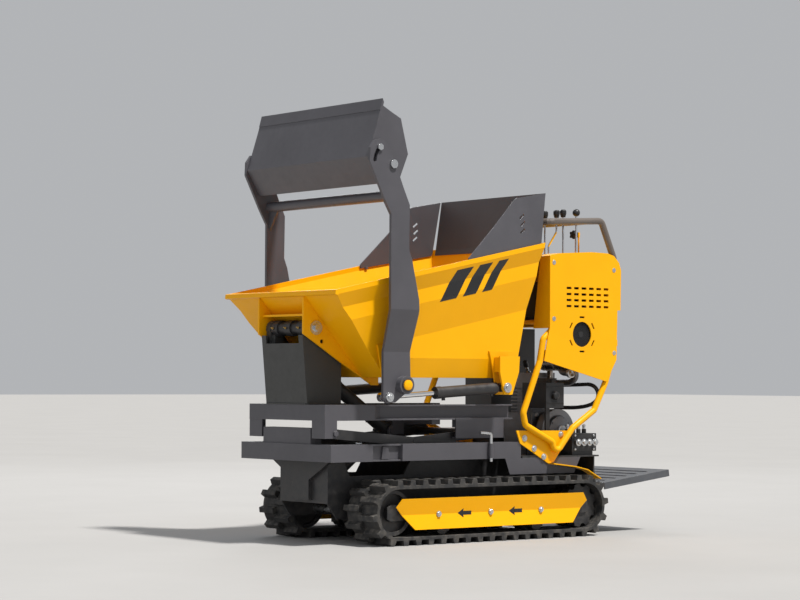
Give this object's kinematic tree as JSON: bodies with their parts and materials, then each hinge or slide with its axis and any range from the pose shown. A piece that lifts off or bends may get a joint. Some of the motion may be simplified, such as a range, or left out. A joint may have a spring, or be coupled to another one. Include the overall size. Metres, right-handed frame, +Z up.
{
  "type": "tracked power wheelbarrow",
  "caption": "Small tracked dumper with a scissor-lifted tipping skip, a self-loading shovel on swinging arms and walk-behind controls.",
  "frame": {"origin": "centre of the footprint's bounding box at ground level", "axes": "-Y forward (the skip tips that way), +X the machine's left side, +Z up"},
  "size_m": [0.814, 1.7586, 1.634],
  "materials": {
    "yellow_paint": "satin powder coat",
    "grey_paint": "satin powder coat",
    "dark_paint": "semi-matt paint",
    "rubber": "matt, slightly dusty",
    "zinc": "zinc plated",
    "chrome": "polished",
    "handle_coat": "soft sheen coating",
    "black_plastic": "moulded",
    "bare_steel": "heat-stained",
    "cast_alloy": "as cast"
  },
  "bodies": {
    "chassis": {"chassis_frame": "dark_paint", "front_gusset": "dark_paint", "lower_frame": "grey_paint", "side_panels": "grey_paint", "tube_gussets": "yellow_paint", "guard_tubes": "yellow_paint", "cowl_left": "yellow_paint", "cowl_right": "yellow_paint", "console": "yellow_paint", "engine_block": "cast_alloy", "muffler": "bare_steel", "air_box": "black_plastic", "fuel_tank": "black_plastic", "hydraulic_tank": "dark_paint", "hydraulic_pump": "dark_paint", "valve_block": "dark_paint", "handlebar": "handle_coat", "track_frame_left": "dark_paint", "track_frame_right": "dark_paint", "track_guard_left": "yellow_paint", "track_guard_right": "yellow_paint", "track_belt_left": "rubber", "track_belt_right": "rubber", "frame_bolts": "zinc"},
    "outer_links": {"links_outer": "dark_paint"},
    "inner_links": {"links_inner": "dark_paint"},
    "upper_deck": {"upper_frame": "grey_paint", "tower": "grey_paint"},
    "skip": {"skip": "yellow_paint", "skip_brackets": "yellow_paint", "board_left": "grey_paint", "board_right": "grey_paint", "board_rear": "grey_paint"},
    "lift_barrel": {"lift_barrel": "dark_paint"},
    "lift_rod": {"lift_rod": "chrome"},
    "tip_barrel": {"tip_barrel": "dark_paint"},
    "tip_rod": {"tip_rod": "chrome"},
    "arm_barrel_left": {"arm_barrel_left": "dark_paint"},
    "arm_barrel_right": {"arm_barrel_right": "dark_paint"},
    "arm_rod_left": {"arm_rod_left": "chrome"},
    "arm_rod_right": {"arm_rod_right": "chrome"},
    "loader_arms": {"loader_arms": "grey_paint"},
    "shovel": {"shovel": "grey_paint"},
    "platform": {"platform": "grey_paint"},
    "lock_pin": {"lock_pin": "zinc"},
    "lever_drive_left": {"lever_drive_left": "black_plastic"},
    "lever_drive_right": {"lever_drive_right": "black_plastic"},
    "lever_tip": {"lever_tip": "black_plastic"},
    "lever_lift": {"lever_lift": "black_plastic"},
    "lever_arm": {"lever_arm": "black_plastic"},
    "lever_throttle": {"lever_throttle": "black_plastic"},
    "star_knob": {"star_knob": "black_plastic"},
    "sprocket_left": {"sprocket_left": "dark_paint"},
    "sprocket_right": {"sprocket_right": "dark_paint"},
    "idler_left": {"idler_left": "dark_paint"},
    "idler_right": {"idler_right": "dark_paint"},
    "roller_front_left": {"roller_front_left": "dark_paint"},
    "roller_rear_left": {"roller_rear_left": "dark_paint"},
    "roller_front_right": {"roller_front_right": "dark_paint"},
    "roller_rear_right": {"roller_rear_right": "dark_paint"}
  },
  "joints": [
    {"name": "lift_links", "type": "hinge", "parent": "chassis", "child": "outer_links", "pos_m": [0, -0.80258, 0.34], "axis": [1, 0, 0], "range_deg": [0, 36]},
    {"name": "scissor_cross", "type": "hinge", "parent": "outer_links", "child": "inner_links", "pos_m": [0, -0.40416, 0.3755], "axis": [1, 0, 0], "range_deg": [-72, 0]},
    {"name": "scissor_top", "type": "hinge", "parent": "inner_links", "child": "upper_deck", "pos_m": [0, -0.80258, 0.411], "axis": [1, 0, 0], "range_deg": [0, 36]},
    {"name": "lift_cylinder_foot", "type": "hinge", "parent": "chassis", "child": "lift_barrel", "pos_m": [0, -0.71258, 0.175], "axis": [1, 0, 0], "range_deg": [0, 28.61]},
    {"name": "lift_cylinder_stroke", "type": "slide", "parent": "lift_barrel", "child": "lift_rod", "axis": [0, 0.792, 0.6105], "range_m": [0, 0.1069]},
    {"name": "skip_tip", "type": "hinge", "parent": "upper_deck", "child": "skip", "pos_m": [0, -0.81158, 0.799], "axis": [-1, 0, 0], "range_deg": [-65, 0]},
    {"name": "tip_cylinder_foot", "type": "hinge", "parent": "upper_deck", "child": "tip_barrel", "pos_m": [0, -0.36258, 0.412], "axis": [1, 0, 0], "range_deg": [-26.2, 0]},
    {"name": "tip_cylinder_stroke", "type": "slide", "parent": "tip_barrel", "child": "tip_rod", "axis": [0, -0.824, 0.5665], "range_m": [0, 0.10856]},
    {"name": "arm_swing", "type": "hinge", "parent": "skip", "child": "loader_arms", "pos_m": [0, -0.57058, 0.59], "axis": [1, 0, 0], "range_deg": [0, 115]},
    {"name": "arm_cylinder_foot_left", "type": "hinge", "parent": "skip", "child": "arm_barrel_left", "pos_m": [0.32, -0.05858, 0.581], "axis": [1, 0, 0], "range_deg": [0, 0.6673]},
    {"name": "arm_cylinder_stroke_left", "type": "slide", "parent": "arm_barrel_left", "child": "arm_rod_left", "axis": [0, -0.9981, -0.0621], "range_m": [-0.13602, 0]},
    {"name": "arm_cylinder_foot_right", "type": "hinge", "parent": "skip", "child": "arm_barrel_right", "pos_m": [-0.32, -0.05858, 0.581], "axis": [1, 0, 0], "range_deg": [0, 0.6673]},
    {"name": "arm_cylinder_stroke_right", "type": "slide", "parent": "arm_barrel_right", "child": "arm_rod_right", "axis": [0, -0.9981, -0.0621], "range_m": [-0.13602, 0]},
    {"name": "shovel_tilt", "type": "hinge", "parent": "loader_arms", "child": "shovel", "pos_m": [0, -0.65258, 1.395], "axis": [1, 0, 0], "range_deg": [0, 35]},
    {"name": "platform_fold", "type": "hinge", "parent": "chassis", "child": "platform", "pos_m": [0, 0.49942, 0.196], "axis": [1, 0, 0], "range_deg": [0, 68]},
    {"name": "lock_pin_lift", "type": "slide", "parent": "chassis", "child": "lock_pin", "axis": [0, 0, 1], "range_m": [0, 0.05]},
    {"name": "lever_throttle_swing", "type": "hinge", "parent": "chassis", "child": "lever_throttle", "pos_m": [-0.2, 0.38742, 1.078], "axis": [1, 0, 0], "range_deg": [-12, 12]},
    {"name": "lever_arm_swing", "type": "hinge", "parent": "chassis", "child": "lever_arm", "pos_m": [-0.06, 0.38742, 1.078], "axis": [1, 0, 0], "range_deg": [-12, 12]},
    {"name": "lever_tip_swing", "type": "hinge", "parent": "chassis", "child": "lever_tip", "pos_m": [0.073, 0.38742, 1.078], "axis": [1, 0, 0], "range_deg": [-12, 12]},
    {"name": "lever_drive_left_swing", "type": "hinge", "parent": "chassis", "child": "lever_drive_left", "pos_m": [0.095, 0.38742, 1.078], "axis": [1, 0, 0], "range_deg": [-12, 12]},
    {"name": "lever_drive_right_swing", "type": "hinge", "parent": "chassis", "child": "lever_drive_right", "pos_m": [0.181, 0.38742, 1.078], "axis": [1, 0, 0], "range_deg": [-12, 12]},
    {"name": "lever_lift_swing", "type": "hinge", "parent": "chassis", "child": "lever_lift", "pos_m": [0.258, 0.38742, 1.078], "axis": [1, 0, 0], "range_deg": [-12, 12]},
    {"name": "star_knob_turn", "type": "hinge", "parent": "chassis", "child": "star_knob", "pos_m": [0.231, 0.40542, 1.19], "axis": [0, 1, 0], "continuous": true},
    {"name": "drive_left", "type": "hinge", "parent": "chassis", "child": "sprocket_left", "pos_m": [0.27, 0.34842, 0.12], "axis": [1, 0, 0], "continuous": true},
    {"name": "idler_turn_left", "type": "hinge", "parent": "chassis", "child": "idler_left", "pos_m": [0.27, -0.58758, 0.12], "axis": [1, 0, 0], "continuous": true},
    {"name": "roller_front_turn_left", "type": "hinge", "parent": "chassis", "child": "roller_front_left", "pos_m": [0.27, -0.35258, 0.0606], "axis": [1, 0, 0], "continuous": true},
    {"name": "roller_rear_turn_left", "type": "hinge", "parent": "chassis", "child": "roller_rear_left", "pos_m": [0.27, 0.11742, 0.0606], "axis": [1, 0, 0], "continuous": true},
    {"name": "drive_right", "type": "hinge", "parent": "chassis", "child": "sprocket_right", "pos_m": [-0.27, 0.34842, 0.12], "axis": [1, 0, 0], "continuous": true},
    {"name": "idler_turn_right", "type": "hinge", "parent": "chassis", "child": "idler_right", "pos_m": [-0.27, -0.58758, 0.12], "axis": [1, 0, 0], "continuous": true},
    {"name": "roller_front_turn_right", "type": "hinge", "parent": "chassis", "child": "roller_front_right", "pos_m": [-0.27, -0.35258, 0.0606], "axis": [1, 0, 0], "continuous": true},
    {"name": "roller_rear_turn_right", "type": "hinge", "parent": "chassis", "child": "roller_rear_right", "pos_m": [-0.27, 0.11742, 0.0606], "axis": [1, 0, 0], "continuous": true}
  ],
  "couplings": [
    {"joint": "scissor_cross", "follows": "lift_links", "ratio": -2},
    {"joint": "scissor_top", "follows": "lift_links", "ratio": 1},
    {"joint": "lift_cylinder_foot", "follows": "lift_links", "ratio": 0.79457},
    {"joint": "lift_cylinder_stroke", "follows": "lift_links", "m_per_rad": 0.17013},
    {"joint": "tip_cylinder_foot", "follows": "skip_tip", "ratio": 0.40302},
    {"joint": "tip_cylinder_stroke", "follows": "skip_tip", "m_per_rad": -0.095686},
    {"joint": "arm_cylinder_foot_left", "follows": "arm_swing", "ratio": 0.0057855},
    {"joint": "arm_cylinder_stroke_left", "follows": "arm_swing", "m_per_rad": -0.067764},
    {"joint": "arm_cylinder_foot_right", "follows": "arm_swing", "ratio": 0.0057855},
    {"joint": "arm_cylinder_stroke_right", "follows": "arm_swing", "m_per_rad": -0.067764},
    {"joint": "idler_turn_left", "follows": "drive_left", "ratio": 1},
    {"joint": "roller_front_turn_left", "follows": "drive_left", "ratio": 3},
    {"joint": "roller_rear_turn_left", "follows": "drive_left", "ratio": 3},
    {"joint": "idler_turn_right", "follows": "drive_right", "ratio": 1},
    {"joint": "roller_front_turn_right", "follows": "drive_right", "ratio": 3},
    {"joint": "roller_rear_turn_right", "follows": "drive_right", "ratio": 3}
  ]
}
